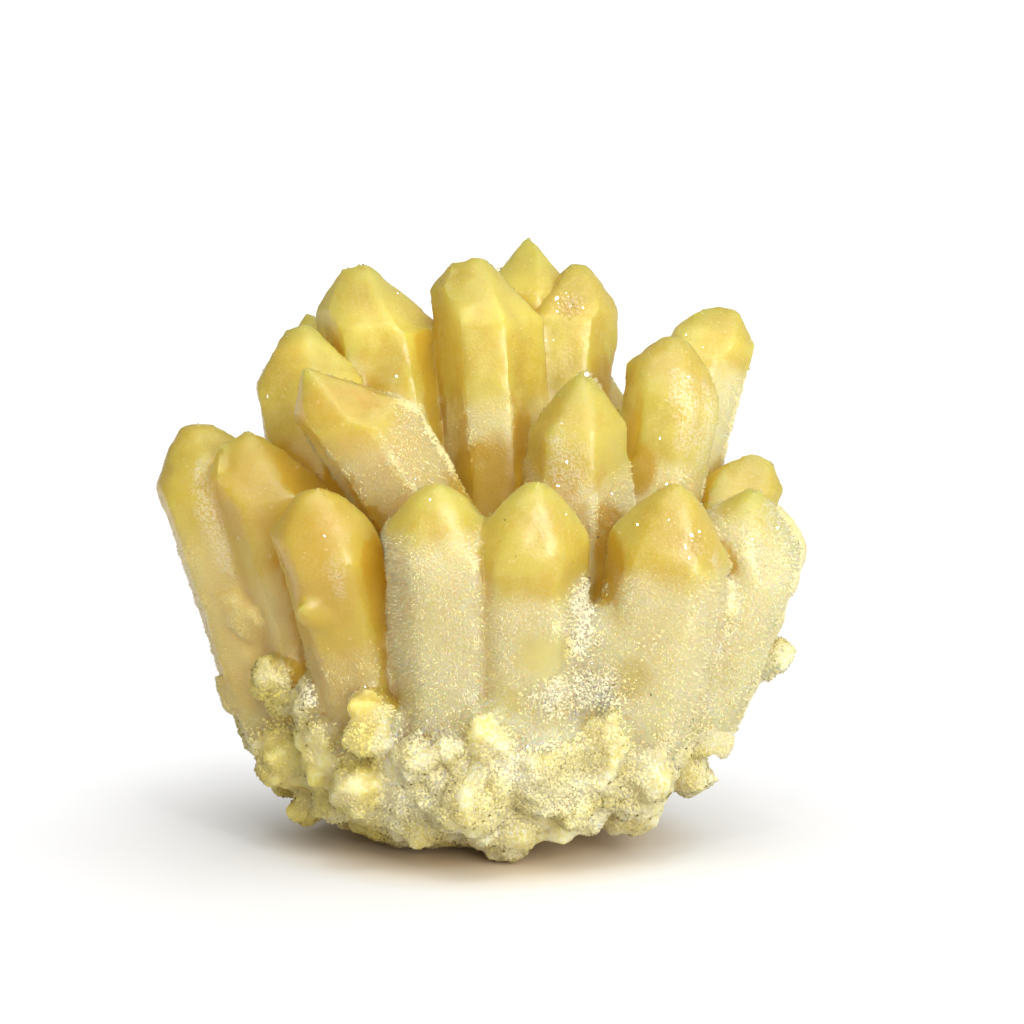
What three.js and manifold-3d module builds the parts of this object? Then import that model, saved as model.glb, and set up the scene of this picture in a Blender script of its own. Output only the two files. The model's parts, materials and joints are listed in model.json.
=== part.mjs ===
// Quartz cluster: a bud of leaning quartz points that grew together out of one drusy base.
// Millimetres, +Z up. The bud's front faces -Y, it rests on Z = 0, and the origin is under its middle.
import * as THREE from "three";
import { ImprovedNoise } from "three/addons/math/ImprovedNoise.js";
import { mergeVertices } from "three/addons/utils/BufferGeometryUtils.js";
import Module from "manifold-3d";

const wasm = await Module();
wasm.setup();

// Quartz habit
const SIDES = 6;
const SIDE_TURN = (2 * Math.PI) / SIDES;
const CAP_FACE_TILT = THREE.MathUtils.degToRad(38.2); // between a cap face and the crystal's axis
const SIDE_UNEVENNESS = 0.1; // of the radius, how far one prism face grew past another
const CAP_UNEVENNESS = 0.1; // of the radius, how far one cap face grew past another

// The drusy base is a lumpy bowl
const BASE_CENTRE = new THREE.Vector3(1, 0.3, 12.6);
const BASE_RADIUS = { x: 22.8, y: 21.8, down: 12.8, up: 8 };
const BASE_TILT = THREE.MathUtils.degToRad(-5); // about Y, which lifts the right side
const BASE_FACETS = 5;
const BASE_LUMP_SIZE = 8;
const BASE_LUMP_HEIGHT = 2;

// Knobs of druse on the bowl, and small points that fringe it
const KNOB_COUNT = 46;
const KNOB_RADIUS = [2, 4.2];
const KNOB_FACETS = 1;
const KNOB_ROUGHNESS = 0.2; // of a knob's radius
const KNOB_HEIGHT = [-0.85, 0.75]; // on the bowl, from straight down at -1 to straight up at 1
const FRINGE_COUNT = 66;
const FRINGE_RADIUS = [1.1, 2.3];
const FRINGE_REACH = [1.2, 3.6]; // how far a tip stands out of the bowl
const FRINGE_SPLAY = 0.55; // how far a point leans off the bowl's own outward direction
const FRINGE_ROOT = 0.75; // of the way from the bowl's middle to its skin, where a point starts
const FRINGE_HEIGHT = [-0.93, 0.6];
const LOWEST_TIP = 1.2; // above the ground, so that only the feet touch it
const GOLDEN_TURN = Math.PI * (3 - Math.sqrt(5));
const GROWTH_SEED = 11;
const WELD_DISTANCE = 1e-4;

const UP = new THREE.Vector3(0, 0, 1);
const TILT_AXIS = new THREE.Vector3(0, 1, 0);

// Large points, each from its tip down to where it roots in the base.
// radius is to a prism edge, twist turns the prism about its axis in degrees, and flare is the radius
// at the root over the radius at the top. peaks are the summits that the cap's faces rest on, sideways
// from the axis and above the tip, in radii; a point with one on its axis leaves them out.
const LARGE_POINTS = [
  // Left wing
  { tip: [-30.9, 2, 45.6], root: [-20.6, -2, 11], radius: 7.8, twist: 10, flare: 0.8,
    peaks: [[-0.25, 0, 0], [0.3, 0, -0.2]] },
  { tip: [-24.6, -4, 45.3], root: [-15, -5, 10], radius: 6.6, twist: 35, flare: 0.8,
    peaks: [[-0.5, 0, 0.05], [0, 0, 0]] },
  // Front row
  { tip: [-17.2, -18, 41.5], root: [-11, -9, 8], radius: 6.5, twist: 20, flare: 0.72,
    peaks: [[-0.3, 0, 0], [0.1, 0, -0.05]] },
  { tip: [-4.3, -24, 42.8], root: [-3.5, -11.5, 8], radius: 6.3, twist: 30, flare: 0.88,
    peaks: [[-0.35, 0, -0.2], [0.05, 0, 0]] },
  { tip: [5.4, -25, 43.7], root: [5, -11.5, 8], radius: 6.8, twist: 28, flare: 0.88 },
  { tip: [20.8, -22, 42.8], root: [15, -9.5, 8], radius: 7.3, twist: 25, flare: 0.85 },
  { tip: [30.3, -10, 40.4], root: [22, -4, 12], radius: 7.5, twist: 5, flare: 0.74,
    peaks: [[-0.1, 0, 0], [0.35, 0, -0.3]] },
  { tip: [29.6, 1, 42.4], root: [19, 3, 10], radius: 4.8, twist: 15, flare: 0.85,
    peaks: [[-0.5, 0, -0.3], [0.45, 0, 0]] },
  // Middle row
  { tip: [-17.2, -12, 54.8], root: [5.5, -2, 16], radius: 6.2, twist: 20, flare: 0.85,
    peaks: [[-0.3, 0, 0]] },
  { tip: [10.7, -9, 53], root: [10, -4, 12], radius: 4.5, twist: 20, flare: 2.25 },
  { tip: [21.6, -1, 55.4], root: [14, 0, 14], radius: 5.9, twist: 20, flare: 0.9,
    peaks: [[-0.3, 0, 0], [0.2, 0, -0.15]] },
  { tip: [26.2, 6, 57.9], root: [15, 4, 14], radius: 5, twist: 10, flare: 0.85,
    peaks: [[-0.6, 0, -0.3], [0.4, 0, 0]] },
  // Back row
  { tip: [-12.4, 9, 62.4], root: [-4, 3, 14], radius: 6.7, twist: 24, flare: 0.9,
    peaks: [[-0.5, 0, 0], [-0.1, 0, 0]] },
  { tip: [0.2, 5, 63.3], root: [3.5, 0, 14], radius: 6.4, twist: 25, flare: 0.9,
    peaks: [[-0.58, 0, 0], [0.1, 0, -0.17]] },
  { tip: [5.3, 15, 65], root: [4, 5, 14], radius: 6.4, twist: 5, flare: 0.9 },
  { tip: [9.7, 11, 62.6], root: [6, 3, 14], radius: 6.3, twist: 25, flare: 0.9,
    peaks: [[0.05, 0, 0], [0.4, 0, -0.15]] },
  { tip: [-19.6, 4, 55.7], root: [-13, 1, 14], radius: 6.7, twist: 5, flare: 0.85,
    peaks: [[-0.3, 0, -0.05], [0.15, 0, 0]] },
  { tip: [-19.3, 11, 56.9], root: [-8, 5, 14], radius: 4.6, twist: 30, flare: 0.9 },
  // Far side
  { tip: [-27, 14, 41.5], root: [-13, 6, 9], radius: 6, twist: 12, flare: 0.85 },
  { tip: [-17, 20.5, 46], root: [-8, 9, 9], radius: 6.2, twist: 28, flare: 0.85,
    peaks: [[-0.2, 0.2, 0], [0.2, 0, -0.1]] },
  { tip: [-5, 24.5, 42.5], root: [-3, 11, 7], radius: 6.4, twist: 3, flare: 0.85 },
  { tip: [7.5, 25.2, 45], root: [4, 11, 7], radius: 6.7, twist: 22, flare: 0.85,
    peaks: [[0.2, 0.1, 0]] },
  { tip: [19, 21, 42], root: [10, 9, 7], radius: 6.2, twist: 8, flare: 0.85,
    peaks: [[0, -0.2, 0], [0, 0.2, -0.1]] },
  { tip: [27.5, 13, 38], root: [15, 7, 8], radius: 5.8, twist: 33, flare: 0.85 },
  { tip: [-8, 18, 54.5], root: [-3, 6, 12], radius: 6.2, twist: 18, flare: 0.9 },
  { tip: [12, 18, 52], root: [6, 6, 12], radius: 6, twist: 27, flare: 0.9 },
  { tip: [15.5, 8.5, 46.5], root: [9, 4, 14], radius: 5.2, twist: 8, flare: 0.95 },
];

// Small points that stand out between and below the large ones.
const SMALL_POINTS = [
  { tip: [-18.8, -21.5, 29.6], root: [-14.5, -12, 27.5], radius: 2.5, twist: 0, flare: 0.9 },
  { tip: [-14.4, -20.8, 19.4], root: [-7, -14, 15.5], radius: 2.3, twist: 10, flare: 0.9 },
  { tip: [-15.3, -21, 15.6], root: [-7, -15, 13.5], radius: 2, twist: 25, flare: 0.9 },
  { tip: [-18.6, -14, 21.4], root: [-17, -9, 11], radius: 2.6, twist: 15, flare: 0.9 },
  { tip: [-29, -4, 19], root: [-20, -2, 13], radius: 3, twist: 5, flare: 0.9 },
  { tip: [-28.2, -6.5, 28.4], root: [-19, -4, 22], radius: 3.2, twist: 10, flare: 1 },
  { tip: [-24.6, -10.5, 22.6], root: [-17, -6, 13], radius: 3, twist: 20, flare: 1 },
  { tip: [-26.6, -3, 12.6], root: [-17, -1, 10], radius: 2.6, twist: 20, flare: 0.9 },
  { tip: [-21.6, -6, 2.6], root: [-14, -3, 9], radius: 2.6, twist: 0, flare: 1 },
  { tip: [-14.8, -12, 4], root: [-9, -8, 9], radius: 2, twist: 10, flare: 1 },
  { tip: [-9.4, -14, 2.2], root: [-6, -9, 8], radius: 2, twist: 18, flare: 1 },
  { tip: [3.1, -13, -1.4], root: [1.5, -10.5, 8], radius: 2.8, twist: 12, flare: 1.1 },
  { tip: [1.7, -21.8, 20.2], root: [0.5, -13, 8], radius: 3, twist: 10, flare: 1 },
  { tip: [13.5, -21.2, 18.8], root: [12, -12, 8], radius: 3.4, twist: 20, flare: 1 },
  { tip: [35, -4, 22], root: [22, -2, 18], radius: 2.4, twist: 0, flare: 1.2 },
  { tip: [20.8, -17.5, 10.4], root: [13, -9, 7], radius: 2.4, twist: 15, flare: 1 },
  { tip: [19.8, -12, 4.8], root: [12, -7, 9], radius: 1.9, twist: 5, flare: 1 },
  { tip: [12.9, -15, 3.4], root: [9, -9, 8], radius: 2.1, twist: 0, flare: 1 },
  { tip: [26.6, -6, 7.4], root: [16, -3, 10], radius: 3.2, twist: 10, flare: 1 },
  { tip: [26.2, -14.5, 32], root: [20, -8, 10], radius: 2.8, twist: 10, flare: 1 },
  { tip: [13.4, -19.5, 31], root: [11.5, -12, 10], radius: 3.5, twist: 20, flare: 1 },
  { tip: [0.6, -19.5, 36], root: [0.8, -12, 10], radius: 2.4, twist: 10, flare: 1 },
  { tip: [-10.6, -15.5, 33], root: [-7.5, -10, 10], radius: 3, twist: 25, flare: 1 },
];

// A seeded random stream, so that every run grows the same cluster.
function randomStream(seed) {
  let state = seed;
  return () => {
    state = (Math.imul(state, 1664525) + 1013904223) >>> 0;
    return state / 2 ** 32;
  };
}

const between = ([low, high], share) => THREE.MathUtils.lerp(low, high, share);

// A closed geometry as a solid that can be joined and cut.
function solidOf(geometry) {
  const bare = new THREE.BufferGeometry()
    .setAttribute("position", geometry.getAttribute("position"))
    .setIndex(geometry.getIndex());
  const merged = mergeVertices(bare, WELD_DISTANCE);
  return new wasm.Manifold(
    new wasm.Mesh({
      numProp: 3,
      vertProperties: new Float32Array(merged.getAttribute("position").array),
      triVerts: new Uint32Array(merged.getIndex().array),
    }),
  );
}

// The six prism faces keep quartz's 60 degrees, and their distances from the axis differ.
function prismOutline(radius, random) {
  const reach = Array.from(
    { length: SIDES },
    () => radius * Math.cos(SIDE_TURN / 2) * (1 + SIDE_UNEVENNESS * (2 * random() - 1)),
  );
  return reach.map((here, side) => {
    const next = reach[(side + 1) % SIDES];
    const angle = side * SIDE_TURN;
    const after = angle + SIDE_TURN;
    return new THREE.Vector2(
      (here * Math.sin(after) - next * Math.sin(angle)) / Math.sin(SIDE_TURN),
      (next * Math.cos(angle) - here * Math.cos(after)) / Math.sin(SIDE_TURN),
    );
  });
}

// One quartz point: an uneven six-sided prism cut by six sloping faces that rest on its peaks.
function quartzPoint({ tip, root, radius, twist, flare, peaks = [[0, 0, 0]] }, random) {
  const foot = new THREE.Vector3(...root);
  const axis = new THREE.Vector3(...tip).sub(foot);
  const length = axis.length();
  const turn = THREE.MathUtils.degToRad(twist);
  const prism = new THREE.ExtrudeGeometry(new THREE.Shape(prismOutline(radius, random)), {
    depth: length,
    bevelEnabled: false,
  }).rotateZ(turn);
  const corner = prism.getAttribute("position");
  for (let i = 0; i < corner.count; i++) {
    const grown = between([flare, 1], corner.getZ(i) / length);
    corner.setXY(i, corner.getX(i) * grown, corner.getY(i) * grown);
  }
  let solid = solidOf(prism);
  const summits = peaks.map((peak) => new THREE.Vector3(...peak).multiplyScalar(radius));
  for (let side = 0; side < SIDES; side++) {
    const heading = turn + side * SIDE_TURN;
    const outward = new THREE.Vector3(
      Math.cos(heading) * Math.cos(CAP_FACE_TILT),
      Math.sin(heading) * Math.cos(CAP_FACE_TILT),
      Math.sin(CAP_FACE_TILT),
    );
    const rest = Math.max(...summits.map((summit) => outward.dot(summit)));
    const reach = length * outward.z + rest + CAP_UNEVENNESS * radius * (random() - 0.5);
    solid = solid.trimByPlane(outward.negate().toArray(), -reach);
  }
  const stand = new THREE.Quaternion().setFromUnitVectors(UP, axis.normalize());
  return solid.transform(new THREE.Matrix4().compose(foot, stand, new THREE.Vector3(1, 1, 1)).toArray());
}

// The outward direction at a height on the bowl, wound round it by the golden angle so that none line up.
function aroundBowl(heights, index, count) {
  const height = between(heights, (index + 0.5) / count);
  const level = Math.sqrt(1 - height * height);
  const turn = index * GOLDEN_TURN;
  return new THREE.Vector3(Math.cos(turn) * level, Math.sin(turn) * level, height);
}

// Where a direction from the bowl's middle meets its smooth surface.
function onBowl(outward) {
  const drop = outward.z > 0 ? BASE_RADIUS.up : BASE_RADIUS.down;
  const spot = new THREE.Vector3(outward.x * BASE_RADIUS.x, outward.y * BASE_RADIUS.y, outward.z * drop);
  return spot.applyAxisAngle(TILT_AXIS, BASE_TILT);
}

// The base: a ball squashed to a bowl, pushed in and out by smooth noise.
function drusyBase() {
  const noise = new ImprovedNoise();
  const ball = new THREE.IcosahedronGeometry(1, BASE_FACETS);
  const vertex = ball.getAttribute("position");
  for (let i = 0; i < vertex.count; i++) {
    const outward = new THREE.Vector3().fromBufferAttribute(vertex, i).normalize();
    const point = onBowl(outward);
    const at = point.clone().divideScalar(BASE_LUMP_SIZE);
    point.addScaledVector(outward, BASE_LUMP_HEIGHT * noise.noise(at.x, at.y, at.z)).add(BASE_CENTRE);
    vertex.setXYZ(i, point.x, point.y, point.z);
  }
  return solidOf(ball);
}

// A knob of druse: a coarse ball with uneven corners, half sunk in the bowl.
function knob(index, random) {
  const ball = mergeVertices(
    new THREE.IcosahedronGeometry(1, KNOB_FACETS).deleteAttribute("normal").deleteAttribute("uv"),
  );
  const radius = between(KNOB_RADIUS, random());
  const vertex = ball.getAttribute("position");
  for (let i = 0; i < vertex.count; i++) {
    const size = radius * (1 + KNOB_ROUGHNESS * (2 * random() - 1));
    vertex.setXYZ(i, vertex.getX(i) * size, vertex.getY(i) * size, vertex.getZ(i) * size);
  }
  const middle = onBowl(aroundBowl(KNOB_HEIGHT, index, KNOB_COUNT)).add(BASE_CENTRE);
  middle.z = Math.max(middle.z, radius + LOWEST_TIP);
  return solidOf(ball.translate(middle.x, middle.y, middle.z));
}

// A small point of the fringe, leaning off the bowl's outward direction.
function fringePoint(index, random) {
  const outward = aroundBowl(FRINGE_HEIGHT, index, FRINGE_COUNT);
  const root = onBowl(outward).multiplyScalar(FRINGE_ROOT).add(BASE_CENTRE);
  const lean = new THREE.Vector3(random() - 0.5, random() - 0.5, random() - 0.5);
  const heading = outward.clone().addScaledVector(lean, 2 * FRINGE_SPLAY).normalize();
  const tip = onBowl(outward).add(BASE_CENTRE).addScaledVector(heading, between(FRINGE_REACH, random()));
  tip.z = Math.max(tip.z, LOWEST_TIP);
  const radius = between(FRINGE_RADIUS, random());
  const twist = (360 / SIDES) * random();
  return quartzPoint({ tip: tip.toArray(), root: root.toArray(), radius, twist, flare: 1 }, random);
}

// The outer skin of a solid, with any pocket sealed between its points filled.
function withoutPockets(solid) {
  return solid.decompose().reduce((largest, body) => (body.volume() > largest.volume() ? body : largest));
}

const random = randomStream(GROWTH_SEED);
const grown = [
  drusyBase(),
  ...LARGE_POINTS.map((point) => quartzPoint(point, random)),
  ...SMALL_POINTS.map((point) => quartzPoint(point, random)),
  ...Array.from({ length: KNOB_COUNT }, (_, index) => knob(index, random)),
  ...Array.from({ length: FRINGE_COUNT }, (_, index) => fringePoint(index, random)),
]
  .reduce((joined, piece) => joined.add(piece))
  .trimByPlane([0, 0, 1], 0);

const shape = withoutPockets(grown).getMesh();
const geometry = new THREE.BufferGeometry()
  .setAttribute("position", new THREE.BufferAttribute(shape.vertProperties, 3))
  .setIndex(new THREE.BufferAttribute(shape.triVerts, 1));

const quartz = new THREE.MeshStandardMaterial({ color: 0xe3cc7a, roughness: 0.45, metalness: 0 });
const cluster = new THREE.Mesh(geometry, quartz);
cluster.name = "quartz_cluster";

const part = new THREE.Group();
part.add(cluster);

export default part;
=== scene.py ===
"""Looks of the quartz cluster: its skin, its druse, its dust, and the stage that it is shown on."""

import json
import math
from collections import namedtuple

import bpy
import numpy as np
from bpy.props import FloatProperty, FloatVectorProperty, IntProperty, PointerProperty
from bpy.types import Operator, Panel, PropertyGroup
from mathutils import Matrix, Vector, noise

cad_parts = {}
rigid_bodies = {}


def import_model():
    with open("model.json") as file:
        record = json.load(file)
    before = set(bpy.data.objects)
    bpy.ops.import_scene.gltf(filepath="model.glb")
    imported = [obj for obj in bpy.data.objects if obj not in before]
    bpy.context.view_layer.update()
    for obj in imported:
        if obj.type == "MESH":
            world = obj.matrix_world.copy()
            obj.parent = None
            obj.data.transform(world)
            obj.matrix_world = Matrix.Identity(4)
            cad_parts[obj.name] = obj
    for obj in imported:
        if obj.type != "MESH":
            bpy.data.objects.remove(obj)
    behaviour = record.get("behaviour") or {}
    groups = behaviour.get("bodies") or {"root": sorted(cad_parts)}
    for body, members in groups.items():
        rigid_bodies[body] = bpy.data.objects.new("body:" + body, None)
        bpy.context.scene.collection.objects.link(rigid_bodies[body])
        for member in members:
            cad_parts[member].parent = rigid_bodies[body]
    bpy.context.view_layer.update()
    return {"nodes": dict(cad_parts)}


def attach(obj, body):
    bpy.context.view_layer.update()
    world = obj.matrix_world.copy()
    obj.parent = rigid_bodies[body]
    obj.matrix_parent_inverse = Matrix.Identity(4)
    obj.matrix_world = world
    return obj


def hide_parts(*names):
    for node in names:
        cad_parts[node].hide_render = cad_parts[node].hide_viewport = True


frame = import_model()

bl_info = {
    "name": "Quartz Cluster",
    "version": (1, 0, 0),
    "blender": (4, 5, 0),
    "location": "View3D > Sidebar > Quartz",
    "description": "Grows the skin, druse and dust of a yellow quartz cluster and sets its stage",
    "category": "Add Mesh",
}

MM = 0.001
CAD_NODE = "quartz_cluster"
BODY = "root"
SKIN = "crystal_skin"

# The large points, as the solid has them, in millimetres. gold is how far the golden cap reaches below
# the tip, in radii, frost is how thickly druse covers the prism faces, from 0 to 1, dome is how far the cap
# swells out of its flat faces, in radii, and amber is how deep the point's own colour is, from 0 to 1.
Point = namedtuple("Point", "tip root radius flare gold frost dome amber")
POINTS = [
    # Left wing
    Point((-30.9, 2, 45.6), (-20.6, -2, 11), 7.8, 0.8, 1.5, 0.12, 0.09, 0.5),
    Point((-24.6, -4, 45.3), (-15, -5, 10), 6.6, 0.8, 2.2, 0.15, 0.09, 0.7),
    # Front row
    Point((-17.2, -18, 41.5), (-11, -9, 8), 6.5, 0.72, 2.6, 0.35, 0.13, 0.75),
    Point((-4.3, -24, 42.8), (-3.5, -11.5, 8), 6.3, 0.88, 0.75, 1.0, 0.14, 0.0),
    Point((5.4, -25, 43.7), (5, -11.5, 8), 6.8, 0.88, 1.6, 0.9, 0.15, 0.05),
    Point((20.8, -22, 42.8), (15, -9.5, 8), 7.3, 0.85, 1.25, 0.85, 0.13, 0.0),
    Point((30.3, -10, 40.4), (22, -4, 12), 7.5, 0.74, 0.4, 1.0, 0.1, 0.0),
    Point((29.6, 1, 42.4), (19, 3, 10), 4.8, 0.85, 1.6, 0.5, 0.02, 0.15),
    # Middle row
    Point((-17.2, -12, 54.8), (5.5, -2, 16), 6.2, 0.85, 1.35, 0.5, 0.02, 0.6),
    Point((10.7, -9, 53), (10, -4, 12), 4.5, 2.25, 2.4, 0.7, 0.1, 0.1),
    Point((21.6, -1, 55.4), (14, 0, 14), 5.9, 0.9, 2.2, 0.6, 0.1, 0.05),
    Point((26.2, 6, 57.9), (15, 4, 14), 5, 0.85, 1.3, 0.7, 0.06, 0.0),
    # Back row
    Point((-12.4, 9, 62.4), (-4, 3, 14), 6.7, 0.9, 2.2, 0.2, 0.05, 0.2),
    Point((0.2, 5, 63.3), (3.5, 0, 14), 6.4, 0.9, 2.4, 0.35, 0.06, 0.2),
    Point((5.3, 15, 65), (4, 5, 14), 6.4, 0.9, 2.4, 0.3, 0.02, 0.15),
    Point((9.7, 11, 62.6), (6, 3, 14), 6.3, 0.9, 2.4, 0.4, 0.08, 0.05),
    Point((-19.6, 4, 55.7), (-13, 1, 14), 6.7, 0.85, 1.6, 0.2, 0.08, 0.25),
    Point((-19.3, 11, 56.9), (-8, 5, 14), 4.6, 0.9, 1.8, 0.2, 0.04, 0.45),
    # Far side
    Point((-27, 14, 41.5), (-13, 6, 9), 6, 0.85, 1.4, 0.4, 0.08, 0.15),
    Point((-17, 20.5, 46), (-8, 9, 9), 6.2, 0.85, 1.6, 0.8, 0.08, 0.15),
    Point((-5, 24.5, 42.5), (-3, 11, 7), 6.4, 0.85, 1.2, 0.9, 0.08, 0.15),
    Point((7.5, 25.2, 45), (4, 11, 7), 6.7, 0.85, 1.5, 0.7, 0.08, 0.15),
    Point((19, 21, 42), (10, 9, 7), 6.2, 0.85, 1.0, 0.9, 0.08, 0.15),
    Point((27.5, 13, 38), (15, 7, 8), 5.8, 0.85, 1.3, 0.6, 0.08, 0.15),
    Point((-8, 18, 54.5), (-3, 6, 12), 6.2, 0.9, 1.8, 0.4, 0.08, 0.15),
    Point((12, 18, 52), (6, 6, 12), 6, 0.9, 1.6, 0.5, 0.08, 0.15),
    Point((15.5, 8.5, 46.5), (9, 4, 14), 5.2, 0.95, 1.8, 0.5, 0.08, 0.15),
]
CAP_SLOPE = math.tan(math.radians(38.2))
CAP_HEIGHT = 1.06  # in radii
PRISM_SHARE = 0.93  # of a point's radius, the mean distance of its prism faces and edges from the axis

# Patches of white druse and bare windows between them, each a middle and a radius in millimetres.
Patch = namedtuple("Patch", "middle radius")
WHITE_PATCHES = [
    Patch((1.5, -21, 30.6), 2.2),
    Patch((5, -22, 31.6), 2),
    Patch((9.9, -21, 30.6), 2.8),
    Patch((10.2, -20, 26), 2.4),
    Patch((7, -20, 20.4), 3),
    Patch((12.5, -19, 20.6), 3),
    Patch((-20.2, -15, 18.5), 2.6),
    Patch((-4.8, -19, 9.7), 4.5),
    Patch((8.3, -20, 9.9), 4.5),
    Patch((16.9, -16, 7.9), 4),
    Patch((2, -20, 8.8), 3.5),
]
# Thin films of druse along lines on the points, and a painted highlight, each from one end to the other, with
# a radius.
Film = namedtuple("Film", "start end radius")
FILMS_AND_HIGHLIGHT = [
    Film((-30, -4, 42), (-27, -8, 28), 1.5),
    Film((-15.5, -23, 37), (-12.5, -20, 19), 1.3),
    Film((8, -14, 46), (10, -15, 38), 2.4),
    Film((21.5, -6, 53), (22.5, -6, 45), 1.7),
    Film((25, -4, 50), (24, -4, 43), 1.6),
    Film((3.6, -4, 58), (6, -5, 44), 1),
    Film((26, -24, 36), (22, -19, 18), 1.6),
    # A painted highlight: this cap face is painted pale where it would mirror the light
    Film((21.5, -28, 39.5), (24.5, -26, 36), 2.2),
    Film((32, -10, 39), (31, -12, 30), 2.5),
]
# Hollows between points, painted deep ochre as painted shade.
SHADED_HOLLOWS = [
    Patch((0.5, -4, 37.5), 8),
    Patch((-21.5, -3, 39), 4.5),
    Patch((13, -18.5, 31.5), 2.6),
    Patch((15.5, -4, 42), 4),
]
BARE_WINDOWS = [Patch((6, -21.5, 25.6), 3.6)]
STAIN = Patch((12.6, -19.5, 18.8), 1.5)
# Yellow lumps among the white ones of the base.
YELLOW_PATCHES = [
    Patch((1.7, -22, 19), 2.6),
    Patch((13.5, -20, 15.5), 3.6),
    Patch((16, -18, 22.5), 3),
    Patch((25.4, -12, 20.5), 2.4),
    Patch((-11.5, -18, 17.5), 3.4),
    Patch((19.5, -16, 10), 1.8),
    Patch((4, -18, 5), 2.5),
    Patch((-21, -12, 12), 5),
    Patch((-15, -15, 6), 3),
    Patch((31.5, -4, 24), 2.6),
]
# Dark grit that shows on the front.
SPECKS = [
    (-14.8, -21, 32.7),
    (3.8, -25, 36.5),
    (12.5, -20, 35.7),
    (-4.1, -19, 22.3),
    (9.1, -20, 14.2),
    (2.4, -24, 40),
    (-2, -20, 25),
]

# Where many flat faces catch the light.
SPARKLES = [
    Patch((9.5, 5, 59), 2.2),
    Patch((22.6, -26, 37), 2.6),
    Patch((8, -20, 20), 3),
    Patch((12, -8, 52), 2),
]

GROWTH_SEED = 7

# Noise fields that mottle the cluster: the size of their lumps, and a shift that tells them apart.
Mottle = namedtuple("Mottle", "size shift")
RAGGED = Mottle(5 * MM, 0)
COARSE = Mottle(3.5 * MM, 11)
FINE = Mottle(1.1 * MM, 29)
BROAD = Mottle(7 * MM, 5)
CLUMPS = Mottle(3 * MM, 51)

# Where the drusy base ends and where loose lumps end, each as the heights between which it thins out.
CRUST_TOP = (11 * MM, 17 * MM)
LOOSE_TOP = (24 * MM, 30 * MM)
LOOSE_GAP = (0.8 * MM, 1.6 * MM)  # how far off the points' faces a place is taken for a loose lump
# How far out of the skin other points are looked for.
CROWDING_LOOKS = np.array([1.5, 3, 5, 8, 12]) * MM

# Sizes of the skin's relief
WAVE_SIZE = 5 * MM
RIPPLE_SIZE = 1.6 * MM
RIPPLE_SHARE = 0.6  # of the waves' height
LUMP_SIZE = 1.9 * MM
ROUNDING_STEPS = 9
BULLET_STEPS = 18
EDGE_ANGLE = math.radians(32)
DRUSE_GRAIN = 0.3 * MM
CRUST_GRAIN = 0.5 * MM

# Looks that every setting shares
GLOW_RADIUS = (1.0, 0.72, 0.25)  # how far red, green and blue wander inside, as shares of the glow depth
STAIN_STRENGTH = 0.3

# Directions from the cluster as an azimuth and an elevation in degrees. Azimuth is from the front, positive
# to the right.
CAMERA_WAY = (0, 9)
GLINT_WAY = (8, 62)

# The lights: where each stands, its distance and size in metres, and the setting that gives its power.
Light = namedtuple("Light", "name way distance size setting")
LIGHTS = [
    Light("key", (32, 62), 0.8, 0.9, "key"),
    Light("fill", (-40, 50), 0.8, 0.45, "fill"),
    Light("front", (26, 14), 0.8, 0.5, "front"),
    Light("glint_high", GLINT_WAY, 1.0, 0.05, "glint"),
    Light("glint_low", (-18, 24), 1.0, 0.05, "glint"),
]

# The table's two shades, a painted warm shadow under the cluster and its white glow farther off. Each reach
# is the two distances in metres between which the painted shadow ends or the glow sets in.
PAPER = ((0.67, 0.67, 0.67, 1), (0.69, 0.69, 0.69, 1))
PAPER_CLOUDS = 0.4
PAINTED_WARM_SHADOW = (0.68, 0.55, 0.38, 1)
PAINTED_SHADOW_REACH = (0.012, 0.025)
SHADOW_MIDDLE = (0, -0.02, 0)
GLOW_REACH = (0.03, 0.09)
GLOW_STRENGTH = 1.15


def way_to(azimuth, elevation):
    """A direction from the cluster, as a vector."""
    turn, rise = math.radians(azimuth), math.radians(elevation)
    return Vector((math.sin(turn) * math.cos(rise), -math.cos(turn) * math.cos(rise), math.sin(rise)))


def smooth_step(low, high, value):
    """0 below low, 1 above high, and an even curve between them."""
    share = np.clip((value - low) / (high - low), 0, 1)
    return share * share * (3 - 2 * share)


def noise_at(co, mottle):
    """Smooth noise from about -1 to 1 at each place."""
    return np.array([noise.noise((x + mottle.shift, y, z)) for x, y, z in co / mottle.size])


def unit(vectors):
    """Each row at length 1."""
    return vectors / np.maximum(np.linalg.norm(vectors, axis=-1, keepdims=True), 1e-12)


# What the skin knows of the points


def point_profile(co, point):
    """How far below a point's tip each place lies along its axis, and how far it stands out of its faces."""
    tip = np.array(point.tip) * MM
    root = np.array(point.root) * MM
    length = np.linalg.norm(tip - root)
    axis = (tip - root) / length
    from_tip = co - tip
    below = -(from_tip @ axis)
    off_axis = np.linalg.norm(from_tip + below[:, None] * axis, axis=1)
    share = np.clip(below / length, 0, 1)
    radius = point.radius * MM * (1 + (point.flare - 1) * share)
    face = np.minimum(PRISM_SHARE * radius, CAP_SLOPE * below + 0.1 * radius)
    return below, off_axis - face


def nearest_points(co):
    """Which point each place belongs to, its depth below that tip, and how far it is off its faces."""
    owner = np.zeros(len(co), int)
    depth = np.zeros(len(co))
    miss = np.full(len(co), np.inf)
    for index, point in enumerate(POINTS):
        below, proud = point_profile(co, point)
        here = np.abs(proud) < miss
        owner[here] = index
        depth[here] = below[here]
        miss[here] = np.abs(proud[here])
    return owner, depth, miss


def crowding(co, normal):
    """How much of the space in front of each place other points fill, from 0 to 1."""
    filled = np.zeros(len(co))
    for look in CROWDING_LOOKS:
        ahead = co + look * normal
        taken = np.zeros(len(co), bool)
        for point in POINTS:
            below, proud = point_profile(ahead, point)
            taken |= (proud < 0) & (below > 0)
        filled += taken
    return filled / len(CROWDING_LOOKS)


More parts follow.
